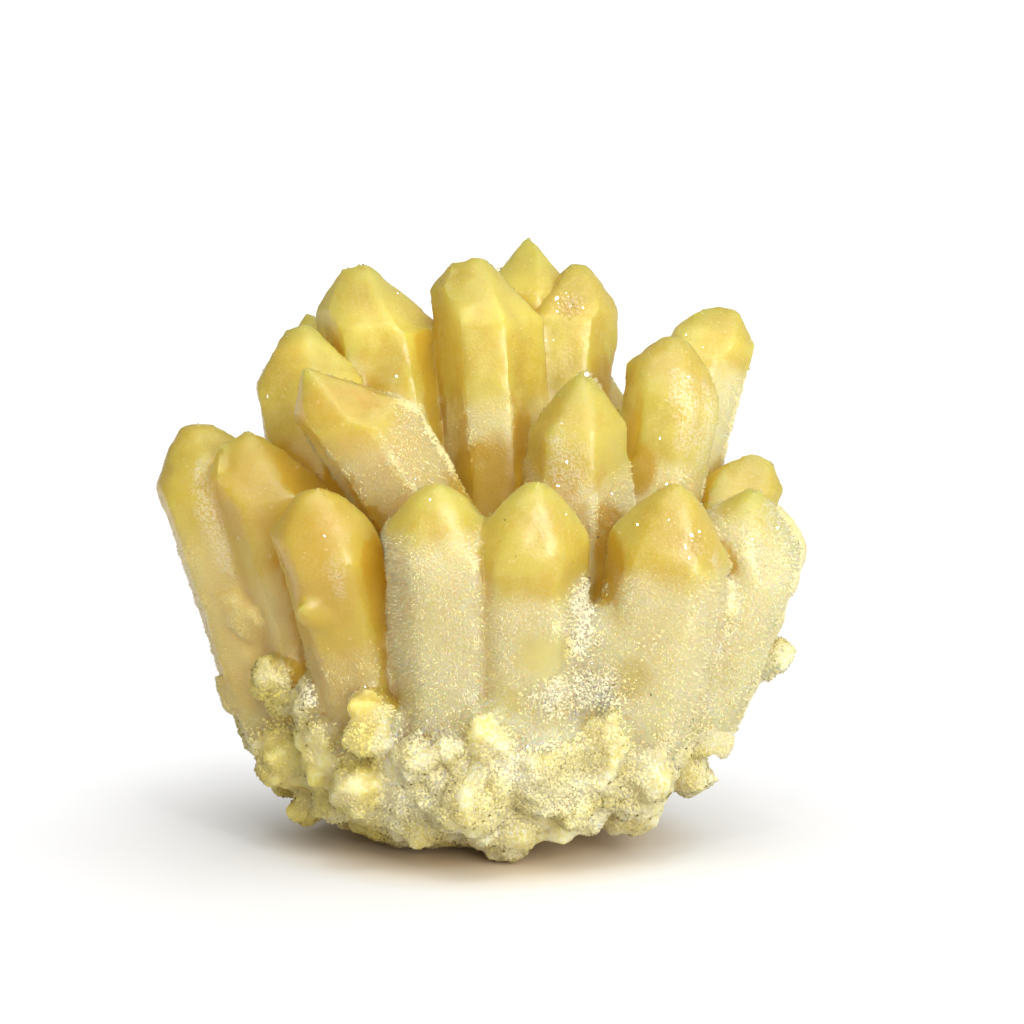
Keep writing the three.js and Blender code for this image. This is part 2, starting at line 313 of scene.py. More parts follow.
def patch_cover(co, patches, ragged):
    """1 inside the patches and 0 outside, with ragged edges."""
    cover = np.zeros(len(co))
    for patch in patches:
        reach = np.linalg.norm(co - np.array(patch.middle) * MM, axis=1) / (patch.radius * MM)
        cover = np.maximum(cover, 1 - smooth_step(0.65, 1.15, reach + ragged))
    return cover


def film_cover(co, films, ragged):
    """1 in the middle of the films and 0 outside, with ragged edges."""
    cover = np.zeros(len(co))
    for film in films:
        start, end = np.array(film.start) * MM, np.array(film.end) * MM
        along = np.clip((co - start) @ (end - start) / ((end - start) @ (end - start)), 0, 1)
        reach = np.linalg.norm(co - start - along[:, None] * (end - start), axis=1) / (film.radius * MM)
        cover = np.maximum(cover, 1 - smooth_step(0.4, 1.3, reach + ragged))
    return cover


def sharpness(mesh, co, normal):
    """How far each vertex stands out of its neighbours, in metres: positive on a ridge."""
    edge = np.zeros(len(mesh.edges) * 2, int)
    mesh.edges.foreach_get("vertices", edge)
    edge = edge.reshape(-1, 2)
    total = np.zeros_like(co)
    count = np.zeros(len(co))
    for a, b in ((0, 1), (1, 0)):
        np.add.at(total, edge[:, a], co[edge[:, b]])
        np.add.at(count, edge[:, a], 1)
    mean = total / np.maximum(count, 1)[:, None]
    ridge = ((co - mean) * normal).sum(axis=1)
    spread = np.zeros(len(co))
    for a, b in ((0, 1), (1, 0)):
        np.add.at(spread, edge[:, a], ridge[edge[:, b]])
    return (ridge + spread) / (1 + count)


def skin_arrays(obj):
    """An object's vertex places and normals."""
    mesh = obj.data
    co = np.zeros(len(mesh.vertices) * 3)
    mesh.vertices.foreach_get("co", co)
    normal = np.zeros(len(mesh.vertices) * 3, np.float32)
    mesh.vertex_normals.foreach_get("vector", normal)
    return co.reshape(-1, 3), normal.reshape(-1, 3).astype(float)


def crust_cover(co, miss):
    """1 on the drusy base and 0 on the points that stand out of it."""
    ragged = 3 * MM * noise_at(co, RAGGED)
    low = 1 - smooth_step(*CRUST_TOP, co[:, 2] + ragged)
    loose = smooth_step(*LOOSE_GAP, miss) * (1 - smooth_step(*LOOSE_TOP, co[:, 2]))
    return np.maximum(low, loose)


def point_values(owner, name):
    """A column of the table of points, for each place by the point that it belongs to."""
    return np.array([getattr(point, name) for point in POINTS])[owner]


def skin_fields(obj):
    """The masks that colour the skin and say where its druse grows, each one number per vertex."""
    co, normal = skin_arrays(obj)
    owner, depth, miss = nearest_points(co)
    coarse = noise_at(co, COARSE)
    fine = noise_at(co, FINE)
    clouds = noise_at(co, BROAD) + 0.5 * coarse + 0.5 * fine
    crust = crust_cover(co, miss)
    reach = depth / (point_values(owner, "radius") * MM) - point_values(owner, "gold")
    gold = 1 - smooth_step(-0.25, 0.35, reach + 0.22 * coarse + 0.08 * fine)
    yellow = patch_cover(co, YELLOW_PATCHES, 0.3 * coarse + 0.2 * fine)
    white = patch_cover(co, WHITE_PATCHES, 0.5 * coarse + 0.5 * fine) * (1 - 0.7 * yellow)
    # Pale films of druse, and one painted highlight on a cap face
    film = film_cover(co, FILMS_AND_HIGHLIGHT, 0.5 * coarse + 0.5 * fine) * (1 - crust)
    bare = patch_cover(co, BARE_WINDOWS, 0.2 * coarse + 0.15 * fine)
    sharp = sharpness(obj.data, co, normal)
    ridge = smooth_step(0.02 * MM, 0.09 * MM, sharp)
    # Painted shade in the crevices of the base
    crevice_shade = smooth_step(0.02 * MM, 0.1 * MM, -sharp) * crust
    # The lower left, the side away from the key light: its points get painted shade below, its base is made
    # more golden and less white
    leftward = smooth_step(4 * MM, 20 * MM, -co[:, 0]) * smooth_step(-36 * MM, -18 * MM, -co[:, 2])
    # Painted shade: ochre where other points fill the space in front of a place, and in the listed hollows
    well = np.maximum(crowding(co, normal), patch_cover(co, SHADED_HOLLOWS, 0.2 * coarse)) * (1 - 0.6 * crust)
    druse = np.clip(point_values(owner, "frost") * (0.75 + 0.5 * coarse), 0, 1) * (1 - bare) * (1 - well)
    sugar = crust * np.clip(0.12 + 0.7 * coarse + 0.35 * fine - 0.5 * yellow - 0.25 * leftward, 0, 0.6)
    pale = np.maximum.reduce(
        [0.5 * druse * (1 - gold), sugar, 0.85 * white * (1 - 0.55 * crust), 0.45 * film]
    )
    golden_crust = crust * np.clip(0.25 + 0.3 * leftward - 1.3 * coarse, 0, 0.8)
    gold = np.maximum.reduce([gold * (1 - crust), 0.3 * bare, 0.7 * yellow, golden_crust])
    amber = 0.5 * point_values(owner, "amber") * (1 - crust) * (0.8 + 0.4 * coarse)
    # The ochre share: painted shade, the points' own amber, and a light ochre over the base
    deep = well + amber + 0.1 * crust * (1 - 0.5 * white) + 0.25 * crevice_shade
    # Painted shade on the lower left, away from the key light
    deep += 0.22 * leftward * (1 - 0.6 * crust)
    return {
        "gold": gold,
        "crust": crust,
        "white": white,
        "bare": bare,
        "ridge": ridge,
        "well": np.clip(deep, 0, 1),
        "druse": druse,
        "frost": pale * (1 - bare),
        "stain": patch_cover(co, [STAIN], 0.3 * fine),
        "cloud": smooth_step(-0.45, 0.45, clouds),
    }


# Modelling by hand


def deselect_all():
    if bpy.context.object and bpy.context.object.mode != "OBJECT":
        bpy.ops.object.mode_set(mode="OBJECT")
    for obj in bpy.context.view_layer.objects:
        obj.select_set(False)


def make_active(obj):
    deselect_all()
    obj.select_set(True)
    bpy.context.view_layer.objects.active = obj


def apply_modifier(obj, name, kind, **settings):
    """Adds a modifier with these settings and applies it."""
    modifier = obj.modifiers.new(name, kind)
    for key, value in settings.items():
        setattr(modifier, key, value)
    make_active(obj)
    bpy.ops.object.modifier_apply(modifier=name)


def weight_group(obj, name, weights):
    """A vertex group with one weight for each vertex."""
    group = obj.vertex_groups.new(name=name)
    for level in range(1, 11):
        at_level = np.flatnonzero(np.round(weights * 10) == level)
        group.add(at_level.tolist(), level / 10, "REPLACE")
    return group.name


def relief(name, kind, size, **settings):
    """A texture for a Displace modifier, with features of the given size."""
    texture = bpy.data.textures.new(name, kind)
    texture.noise_scale = size
    for key, value in settings.items():
        setattr(texture, key, value)
    return texture


def displace(obj, name, texture, strength, mid_level, group=""):
    """Moves a shape's skin in and out by a texture, in a vertex group if one is given."""
    apply_modifier(
        obj,
        name,
        "DISPLACE",
        texture=texture,
        texture_coords="LOCAL",
        strength=strength,
        mid_level=mid_level,
        vertex_group=group,
    )


def store(mesh, name, values):
    """Keeps one number per vertex on a mesh, for its material."""
    attribute = mesh.attributes.new(name, "FLOAT", "POINT")
    attribute.data.foreach_set("value", np.asarray(values, np.float32))


def read(mesh, name):
    values = np.zeros(len(mesh.vertices), np.float32)
    mesh.attributes[name].data.foreach_get("value", values)
    return values


def finish_piece(obj, material):
    """Gives a piece its material, and ties it to the cluster's one body."""
    obj.data.materials.clear()
    obj.data.materials.append(material)
    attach(obj, BODY)


def smallest_first(face):
    """A face's corners, turned round so that the smallest comes first."""
    start = face.index(min(face))
    return face[start:] + face[:start]


def taken_apart(obj):
    """A modelled shape's vertices and sorted triangles, after which the object is deleted."""
    make_active(obj)
    bpy.ops.object.mode_set(mode="EDIT")
    bpy.ops.mesh.select_all(action="SELECT")
    bpy.ops.mesh.normals_make_consistent(inside=False)
    bpy.ops.mesh.quads_convert_to_tris()
    bpy.ops.object.mode_set(mode="OBJECT")
    corners = np.array([vertex.co[:] for vertex in obj.data.vertices])
    triangles = np.array(sorted(smallest_first(face.vertices[:]) for face in obj.data.polygons))
    bpy.data.meshes.remove(obj.data)
    return corners, triangles


def close_to_a_tip(depth):
    """Draws the active shape's lower end face out to one tip."""
    mesh = bpy.context.object.data
    for item in (*mesh.vertices, *mesh.edges, *mesh.polygons):
        item.select = False
    for face in mesh.polygons:
        face.select = face.normal.z < -0.9
        if face.select:
            for corner in face.vertices:
                mesh.vertices[corner].select = True
    bpy.ops.object.mode_set(mode="EDIT")
    bpy.ops.mesh.extrude_region_move(TRANSFORM_OT_translate={"value": (0, 0, -depth)})
    bpy.ops.mesh.merge(type="COLLAPSE")
    bpy.ops.object.mode_set(mode="OBJECT")


def needle_shape():
    """A three-sided needle, one unit long and wide, rooted a little below its start."""
    deselect_all()
    bpy.ops.mesh.primitive_cone_add(
        vertices=3, radius1=0.5, depth=1.2, end_fill_type="NOTHING", location=(0, 0, 0.4)
    )
    bpy.ops.object.transform_apply(location=True)
    return taken_apart(bpy.context.object)


def sugar_shape():
    """A sugary grain: a four-sided blunt pyramid, one unit across, rooted a little below its start."""
    deselect_all()
    bpy.ops.mesh.primitive_cone_add(
        vertices=4, radius1=0.5, depth=0.75, end_fill_type="NOTHING", location=(0, 0, 0.2)
    )
    bpy.ops.object.transform_apply(location=True)
    return taken_apart(bpy.context.object)


def grain_shape():
    """A loose grain: a four-sided double pyramid, one unit across."""
    deselect_all()
    bpy.ops.mesh.primitive_cone_add(vertices=4, radius1=0.5, depth=0.55, location=(0, 0, 0.35))
    bpy.ops.object.transform_apply(location=True)
    close_to_a_tip(0.5)
    return taken_apart(bpy.context.object)


def plate_shape():
    """A flat five-sided crystal face, one unit across."""
    deselect_all()
    bpy.ops.mesh.primitive_circle_add(vertices=5, radius=0.5, fill_type="NGON")
    return taken_apart(bpy.context.object)


# Growing small crystals on the skin


def scatter(skin, weights, count, rng):
    """Spots spread over the skin by a weight per vertex: where, which way is out, and on which triangle."""
    mesh = skin.data
    mesh.calc_loop_triangles()
    triangles = np.zeros(len(mesh.loop_triangles) * 3, int)
    mesh.loop_triangles.foreach_get("vertices", triangles)
    triangles = triangles.reshape(-1, 3)
    co, normal = skin_arrays(skin)
    a, b, c = (co[triangles[:, corner]] for corner in range(3))
    area = np.linalg.norm(np.cross(b - a, c - a), axis=1) / 2
    reach = np.cumsum(area * weights[triangles].mean(axis=1))
    picks = np.searchsorted(reach, (np.arange(count) + rng.random(count)) / count * reach[-1])
    chosen = triangles[np.minimum(picks, len(triangles) - 1)]
    share = rng.random((count, 2))
    over = share.sum(axis=1) > 1
    share[over] = 1 - share[over]
    share = np.column_stack([1 - share.sum(axis=1), share])
    return (
        (co[chosen] * share[:, :, None]).sum(axis=1),
        unit((normal[chosen] * share[:, :, None]).sum(axis=1)),
        chosen,
    )


def plant(name, shape, spots, heading, length, width, rng):
    """One mesh of copies of a shape, each at its spot, along its heading, at its length and width."""
    corners, triangles = shape
    side = unit(np.cross(heading, rng.normal(size=heading.shape)))
    other = np.cross(heading, side)
    places = (
        spots[:, None, :]
        + corners[None, :, 0, None] * (width[:, None, None] * side[:, None, :])
        + corners[None, :, 1, None] * (width[:, None, None] * other[:, None, :])
        + corners[None, :, 2, None] * (length[:, None, None] * heading[:, None, :])
    ).reshape(-1, 3)
    faces = (triangles[None] + len(corners) * np.arange(len(spots))[:, None, None]).reshape(-1, 3)
    places[:, 2] = np.maximum(places[:, 2], 0)
    mesh = bpy.data.meshes.new(name)
    mesh.vertices.add(len(places))
    mesh.vertices.foreach_set("co", places.ravel())
    mesh.loops.add(faces.size)
    mesh.loops.foreach_set("vertex_index", faces.ravel())
    mesh.polygons.add(len(faces))
    mesh.polygons.foreach_set("loop_start", np.arange(len(faces)) * 3)
    mesh.update(calc_edges=True)
    mesh.validate()
    obj = bpy.data.objects.new(name, mesh)
    bpy.context.scene.collection.objects.link(obj)
    return obj


def shade_as_skin(obj, shape, normal, own):
    """Shades each copy as the skin under it, with a share of the copy's own roundness."""
    corners = shape[0]
    places = np.zeros(len(obj.data.vertices) * 3)
    obj.data.vertices.foreach_get("co", places)
    places = places.reshape(-1, len(corners), 3)
    outward = unit(places - places.mean(axis=1, keepdims=True))
    blend = unit((1 - own) * normal[:, None, :] + own * outward).reshape(-1, 3)
    make_active(obj)
    bpy.ops.object.shade_smooth()
    obj.data.normals_split_custom_set_from_vertices(blend.tolist())


def tint_copies(obj, shape, **tints):
    """Stores one number per copy on all of that copy's vertices."""
    for name, values in tints.items():
        store(obj.data, name, np.repeat(values, len(shape[0])))


def leaning(normal, lean, rng):
    """Directions near the normals, each turned off by up to the given share."""
    return unit(normal + lean * rng.normal(size=normal.shape))


# Materials


class Wiring:
    """Adds nodes to a tree, with their settings and inputs. An input is a value or another node's output."""

    def __init__(self, tree):
        self.tree = tree

    def add(self, kind, inputs=None, **settings):
        node = self.tree.nodes.new(kind)
        for key, value in settings.items():
            setattr(node, key, value)
        for key, value in (inputs or {}).items():
            self.feed(node.inputs[key], value)
        return node

    def feed(self, socket, value):
        if isinstance(value, bpy.types.NodeSocket):
            self.tree.links.new(value, socket)
        else:
            socket.default_value = value

    def math(self, operation, a, b):
        return self.add("ShaderNodeMath", {0: a, 1: b}, operation=operation).outputs[0]

    def mix(self, share, a, b):
        node = self.add("ShaderNodeMix", {0: share, 6: a, 7: b}, data_type="RGBA")
        return node.outputs[2]

    def attribute(self, name):
        return self.add("ShaderNodeAttribute", attribute_name=name).outputs["Fac"]

    def ramp(self, value, low, high, to_low=0.0, to_high=1.0):
        node = self.add(
            "ShaderNodeMapRange",
            {"Value": value, "From Min": low, "From Max": high, "To Min": to_low, "To Max": to_high},
        )
        return node.outputs["Result"]

    def noise(self, vector, size):
        inputs = {"Vector": vector, "Scale": 1 / size, "Detail": 2.0, "Roughness": 0.5}
        return self.add("ShaderNodeTexNoise", inputs).outputs["Fac"]


def colour(values):
    return (*values, 1.0)


def new_group(name, inputs, outputs):
    """A shader node group with these inputs and outputs: names with their socket types."""
    group = bpy.data.node_groups.new(name, "ShaderNodeTree")
    for sockets, in_out in ((inputs, "INPUT"), (outputs, "OUTPUT")):
        for socket, kind in sockets.items():
            group.interface.new_socket(socket, in_out=in_out, socket_type=kind)
    return group


def sugar_group():
    """Sugar grain: how far tiny grains stand out, and the speckle that they make."""
    group = new_group(
        "Sugar grain",
        {"Vector": "NodeSocketVector", "Scale": "NodeSocketFloat"},
        {"Height": "NodeSocketFloat", "Speckle": "NodeSocketFloat"},
    )
    wire = Wiring(group)
    given = wire.add("NodeGroupInput").outputs
    inputs = {"Vector": given["Vector"], "Scale": given["Scale"], "Detail": 1.0}
    grain = wire.add("ShaderNodeTexNoise", inputs).outputs["Fac"]
    wire.add("NodeGroupOutput", {"Height": grain, "Speckle": wire.ramp(grain, 0.4, 0.62)})
    return group


def tint_group(colours):
    """Quartz tint: cream, turned golden, ochre as painted shade and the points' own amber, frosted white or
    stained by its masks.
    """
    group = new_group(
        "Quartz tint",
        {name: "NodeSocketFloat" for name in ("Gold", "Well", "Frost", "Stain", "Cloud")},
        {"Color": "NodeSocketColor"},
    )
    wire = Wiring(group)
    given = wire.add("NodeGroupInput").outputs
    body = wire.mix(given["Cloud"], colour(colours.cream), colour(colours.straw))
    golden = wire.mix(given["Cloud"], colour(colours.gold), colour(colours.lemon))
    body = wire.mix(given["Gold"], body, golden)
    # Ochre: painted shade in wells and crevices, and the points' own amber
    body = wire.mix(given["Well"], body, colour(colours.ochre))
    body = wire.mix(given["Frost"], body, colour(colours.frost))
    body = wire.mix(given["Stain"], body, colour(colours.stain))
    wire.add("NodeGroupOutput", {"Color": body})
    return group


def group_node(wire, name, inputs):
    node = wire.add("ShaderNodeGroup", node_tree=bpy.data.node_groups[name])
    for key, value in inputs.items():
        wire.feed(node.inputs[key], value)
    return node


def new_material(name):
    """A material with its wiring, its Principled shader and its output."""
    material = bpy.data.materials.new(name)
    material.use_nodes = True
    nodes = material.node_tree.nodes
    return material, Wiring(material.node_tree), nodes["Principled BSDF"], nodes["Material Output"]


def skin_material(name, clearness, milkiness, brightness, roughness, grain, bumpiness):
    """Quartz of the skin, golden at the caps, ochre in the wells as painted shade and where the points' own
    amber is deep, whitened by fine druse.
    """
    looks = bpy.context.scene.quartz_looks
    material, wire, shader, output = new_material(name)
    place = wire.add("ShaderNodeTexCoord").outputs["Object"]
    sugar = group_node(wire, "Sugar grain", {"Vector": place, "Scale": 1 / grain})
    speckle = sugar.outputs["Speckle"]
    frost = wire.math("MULTIPLY", wire.attribute("frost"), wire.ramp(speckle, 0, 1, 0.25, 1.3))
    tint = group_node(
        wire,
        "Quartz tint",
        {
            "Gold": wire.math("MULTIPLY", wire.attribute("gold"), wire.ramp(speckle, 0, 1, 1.05, 0.8)),
            # Painted shade, with the points' own amber, turns the skin ochre
            "Well": wire.ramp(wire.attribute("well"), 0.08, 0.6, 0, 0.95),
            "Frost": frost,
            "Stain": wire.math("MULTIPLY", wire.attribute("stain"), STAIN_STRENGTH),
            "Cloud": wire.attribute("cloud"),
        },
    )
    frosted = wire.ramp(wire.attribute("frost"), 0, 0.5, 0.2, 1)
    height = wire.math("MULTIPLY", sugar.outputs["Height"], frosted)
    bump = wire.add("ShaderNodeBump", {"Height": height, "Strength": bumpiness, "Distance": 0.6 * grain})
    shade = wire.add("ShaderNodeHueSaturation", {"Value": brightness, "Color": tint.outputs["Color"]})
    wire.feed(shader.inputs["Base Color"], shade.outputs["Color"])
    wire.feed(shader.inputs["Roughness"], wire.ramp(frost, 0, 0.7, roughness, roughness + 0.15))
    wire.feed(shader.inputs["Normal"], bump.outputs["Normal"])
    shader.inputs["IOR"].default_value = looks.ior
    shader.inputs["Transmission Weight"].default_value = clearness
    shader.inputs["Subsurface Weight"].default_value = milkiness
    shader.inputs["Subsurface Radius"].default_value = GLOW_RADIUS
    shader.inputs["Subsurface Scale"].default_value = looks.glow_depth
    depths = {"Color": colour(looks.depth_colour), "Density": looks.depth_density}
    haze = wire.add("ShaderNodeVolumeAbsorption", depths)
    wire.feed(output.inputs["Volume"], haze.outputs["Volume"])
    return material


def druse_material(name, brightness, roughness):
    """Small crystals: each takes its own tint from its copy's numbers."""
    looks = bpy.context.scene.quartz_looks
    material, wire, shader, _ = new_material(name)
    place = wire.add("ShaderNodeTexCoord").outputs["Object"]
    sugar = group_node(wire, "Sugar grain", {"Vector": place, "Scale": 1 / DRUSE_GRAIN})
    tint = group_node(
        wire,
        "Quartz tint",
        {
            "Gold": wire.attribute("gold"),
            # Painted shade and amber carried over from the skin under each copy
            "Well": wire.math("MULTIPLY", wire.attribute("well"), 0.7),
            "Frost": wire.attribute("frost"),
            "Stain": wire.attribute("stain"),
            "Cloud": sugar.outputs["Speckle"],
        },
    )
    dim = wire.add(
        "ShaderNodeHueSaturation",
        {"Value": brightness, "Saturation": 1.08, "Color": tint.outputs["Color"]},
    )
    wire.feed(shader.inputs["Base Color"], dim.outputs["Color"])
    wire.feed(shader.inputs["Roughness"], wire.ramp(sugar.outputs["Speckle"], 0, 1, roughness, 2 * roughness))
    shader.inputs["IOR"].default_value = looks.ior
    return material


def glint_material():
    """Clear tiny crystals, seen only by what their faces mirror."""
    looks = bpy.context.scene.quartz_looks
    material, wire, shader, _ = new_material("clear_glints")
    place = wire.add("ShaderNodeTexCoord").outputs["Object"]
    sugar = group_node(wire, "Sugar grain", {"Vector": place, "Scale": 1 / DRUSE_GRAIN})
    tint = wire.mix(sugar.outputs["Speckle"], (1, 1, 1, 1), (1, 0.96, 0.82, 1))
    wire.feed(shader.inputs["Base Color"], tint)
    shader.inputs["Roughness"].default_value = 0.04
    shader.inputs["IOR"].default_value = looks.ior
    shader.inputs["Transmission Weight"].default_value = 1.0
    return material


def dust_material():
    """Dark grit caught on the druse."""
    material, wire, shader, _ = new_material("grit")
    place = wire.add("ShaderNodeTexCoord").outputs["Object"]
    shade = wire.mix(wire.noise(place, 0.2 * MM), (0.03, 0.025, 0.02, 1), (0.12, 0.09, 0.05, 1))
    wire.feed(shader.inputs["Base Color"], shade)
    shader.inputs["Roughness"].default_value = 0.8
    return material


# Settings that a user would change


class QuartzShape(PropertyGroup):
    wave: FloatProperty(
        name="Waviness",
        description="How far crystal faces wander from flat",
        default=0.5 * MM,
        subtype="DISTANCE",
    )
    lump: FloatProperty(
        name="Lumps",
        description="How far lumps of druse stand out of the base",
        default=0.7 * MM,
        subtype="DISTANCE",
    )


class QuartzDruse(PropertyGroup):
    needles: IntProperty(name="Needles", description="Fine needles on the points", default=100000)
    needle_length: FloatProperty(
        name="Needle length", description="Length of a usual needle", default=0.45 * MM, subtype="DISTANCE"
    )
    grains: IntProperty(
        name="Grains",
        description="Sugary grains on the base and the white patches",
        default=64000,
    )
    grain_size: FloatProperty(
        name="Grain size", description="Width of a usual grain", default=0.24 * MM, subtype="DISTANCE"
    )
    glints: IntProperty(name="Glints", description="Tiny crystals that catch the light", default=8000)
    plates: IntProperty(name="Plates", description="Flat faces that mirror the light", default=1600)
    specks: IntProperty(name="Grit", description="Dark specks over the cluster", default=20)


class QuartzLooks(PropertyGroup):
    cream: FloatVectorProperty(
        name="Cream", description="Prism faces", default=(0.86, 0.775, 0.36), subtype="COLOR", size=3
    )
    straw: FloatVectorProperty(
        name="Straw",
        description="Darker clouds in the prism",
        default=(0.83, 0.715, 0.27),
        subtype="COLOR",
        size=3,
    )
    gold: FloatVectorProperty(
        name="Gold", description="Golden caps", default=(0.67, 0.515, 0.065), subtype="COLOR", size=3
    )
    lemon: FloatVectorProperty(
        name="Lemon",
        description="Lighter clouds in the caps",
        default=(0.71, 0.615, 0.105),
        subtype="COLOR",
        size=3,
    )
    # Ochre: painted shade in the wells between points, and the points' own amber
    ochre: FloatVectorProperty(
        name="Ochre",
        description="Deep wells between points",
        default=(0.66, 0.43, 0.035),
        subtype="COLOR",
        size=3,
    )
    frost: FloatVectorProperty(
        name="Frost", description="White druse", default=(0.93, 0.88, 0.70), subtype="COLOR", size=3
    )
    stain: FloatVectorProperty(
        name="Stain", description="A bluish grey stain", default=(0.34, 0.40, 0.36), subtype="COLOR", size=3
    )
    ior: FloatProperty(name="IOR", description="Index of refraction of quartz", default=1.544)
    clearness: FloatProperty(
        name="Clearness",
        description="Share of light sent straight through",
        default=0.55,
    )
    crust_milkiness: FloatProperty(
        name="Crust milkiness", description="Share of light scattered inside the sugary base", default=0.8
    )
    milkiness: FloatProperty(name="Milkiness", description="Share of light scattered inside", default=1.0)
    glow_depth: FloatProperty(
        name="Glow depth", description="How far light wanders inside", default=8 * MM, subtype="DISTANCE"
    )
    depth_colour: FloatVectorProperty(
        name="Depth colour",
        description="Colour of thick quartz",
        default=(0.96, 0.83, 0.36),
        subtype="COLOR",
        size=3,
    )
    depth_density: FloatProperty(name="Depth density", description="Absorption per metre", default=38.0)


class QuartzStage(PropertyGroup):
    target: FloatVectorProperty(
        name="Target",
        description="Where the camera looks",
        default=(3.3 * MM, 0, 36.3 * MM),
        subtype="TRANSLATION",
        size=3,
    )
    distance: FloatProperty(
        name="Camera distance", description="From the target", default=450 * MM, subtype="DISTANCE"
    )
    elevation: FloatProperty(
        name="Camera elevation",
        description="Above level",
        default=math.radians(CAMERA_WAY[1]),
        subtype="ANGLE",
    )
    lens: FloatProperty(name="Lens", description="Focal length in millimetres", default=145.4)
    sky_left: FloatProperty(
        name="Sky at left",
        description="Strength of the white room at the left",
        default=0.22,
    )
    sky_right: FloatProperty(
        name="Sky at right",
        description="Strength of the white room at the right",
        default=0.9,
    )
    key: FloatProperty(
        name="Key light",
        description="Power of the light at the right",
        default=4.6,
        subtype="POWER",
    )
    fill: FloatProperty(
        name="Fill light",
        description="Power of the light at the left",
        default=1.0,
        subtype="POWER",
    )
    front: FloatProperty(
        name="Front light",
        description="Power of the low light",
        default=7.6,
        subtype="POWER",
    )
    glint: FloatProperty(
        name="Glint light",
        description="Power of the small lights",
        default=0.8,
        subtype="POWER",
    )


# Operators, one for each piece or group of like pieces


class QUARTZ_OT_skin(Operator):
    """Makes the cluster's skin over its solid: rounded edges, wavy faces and a lumpy base"""

    bl_idname = "quartz.skin"
    bl_label = "Grow Skin"

    def execute(self, context):
        shape = context.scene.quartz_shape
        solid = frame["nodes"][CAD_NODE]
        skin = bpy.data.objects.new(SKIN, solid.data.copy())
        context.scene.collection.objects.link(skin)
        make_active(skin)
        bpy.ops.object.mode_set(mode="EDIT")
        bpy.ops.mesh.select_all(action="SELECT")
        bpy.ops.mesh.remove_doubles(threshold=0.001 * MM)
        bpy.ops.object.mode_set(mode="OBJECT")
        apply_modifier(skin, "Steps", "REMESH", mode="SHARP", octree_depth=7, scale=0.92, sharpness=1)
        rounding, bullets, crust = self.swell_caps(skin)
        for name, steps, group in (
            ("Rounding", ROUNDING_STEPS, rounding),
            ("Bullets", BULLET_STEPS, bullets),
        ):
            apply_modifier(skin, name, "SMOOTH", factor=0.5, iterations=steps, vertex_group=group)
        waves = relief("waves", "CLOUDS", WAVE_SIZE, noise_depth=3)
        displace(skin, "Waves", waves, shape.wave, 0.5)
        ripples = relief("ripples", "CLOUDS", RIPPLE_SIZE, noise_depth=2)
        displace(skin, "Ripples", ripples, RIPPLE_SHARE * shape.wave, 0.5)
        lumps = relief("lumps", "VORONOI", LUMP_SIZE, noise_intensity=1.3)
        displace(skin, "Lumps", lumps, -shape.lump, 0.45, crust)
        for vertex in skin.data.vertices:
            vertex.co.z = max(vertex.co.z, 0)
        skin.vertex_groups.clear()
        for name, values in skin_fields(skin).items():
            store(skin.data, name, values)
        make_active(skin)
        bpy.ops.object.shade_smooth_by_angle(angle=EDGE_ANGLE)
        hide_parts(CAD_NODE)
        looks = context.scene.quartz_looks
        cloudy_quartz = skin_material(
            "cloudy_quartz",
            clearness=looks.clearness,
            milkiness=looks.milkiness,
            brightness=1.0,
            roughness=0.36,
            grain=DRUSE_GRAIN,
            bumpiness=0.8,
        )
        finish_piece(skin, cloudy_quartz)
        sugar_crust = skin_material(
            "sugar_crust",
            clearness=0.0,
            milkiness=looks.crust_milkiness,
            brightness=0.7,
            roughness=0.5,
            grain=CRUST_GRAIN,
            bumpiness=0.8,
        )
        skin.data.materials.append(sugar_crust)
        sugary = read(skin.data, "crust") > 0.5
        for face in skin.data.polygons:
            face.material_index = int(sugary[list(face.vertices)].all())
        return {"FINISHED"}

    def swell_caps(self, skin):
        """Swells the caps out of their flat faces, and weighs where edges are rounded and lumps grow."""
        co, normal = skin_arrays(skin)
        owner, depth, miss = nearest_points(co)
        crust = crust_cover(co, miss)
        dome = point_values(owner, "dome") * (miss < 1.2 * MM) * (1 - crust)
        radius = point_values(owner, "radius") * MM
        share = np.clip(depth / (CAP_HEIGHT * radius), 0, 1)
        co += (dome * radius * (1 - share**2))[:, None] * normal
        skin.data.vertices.foreach_set("co", co.ravel())
        rounding = np.maximum(np.clip(0.15 + 6 * dome, 0, 1), crust)
        bullets = np.maximum(smooth_step(0.08, 0.13, dome), 0.7 * crust)
        groups = {"rounding": rounding, "bullets": bullets, "crust": crust}
        return [weight_group(skin, name, weights) for name, weights in groups.items()]


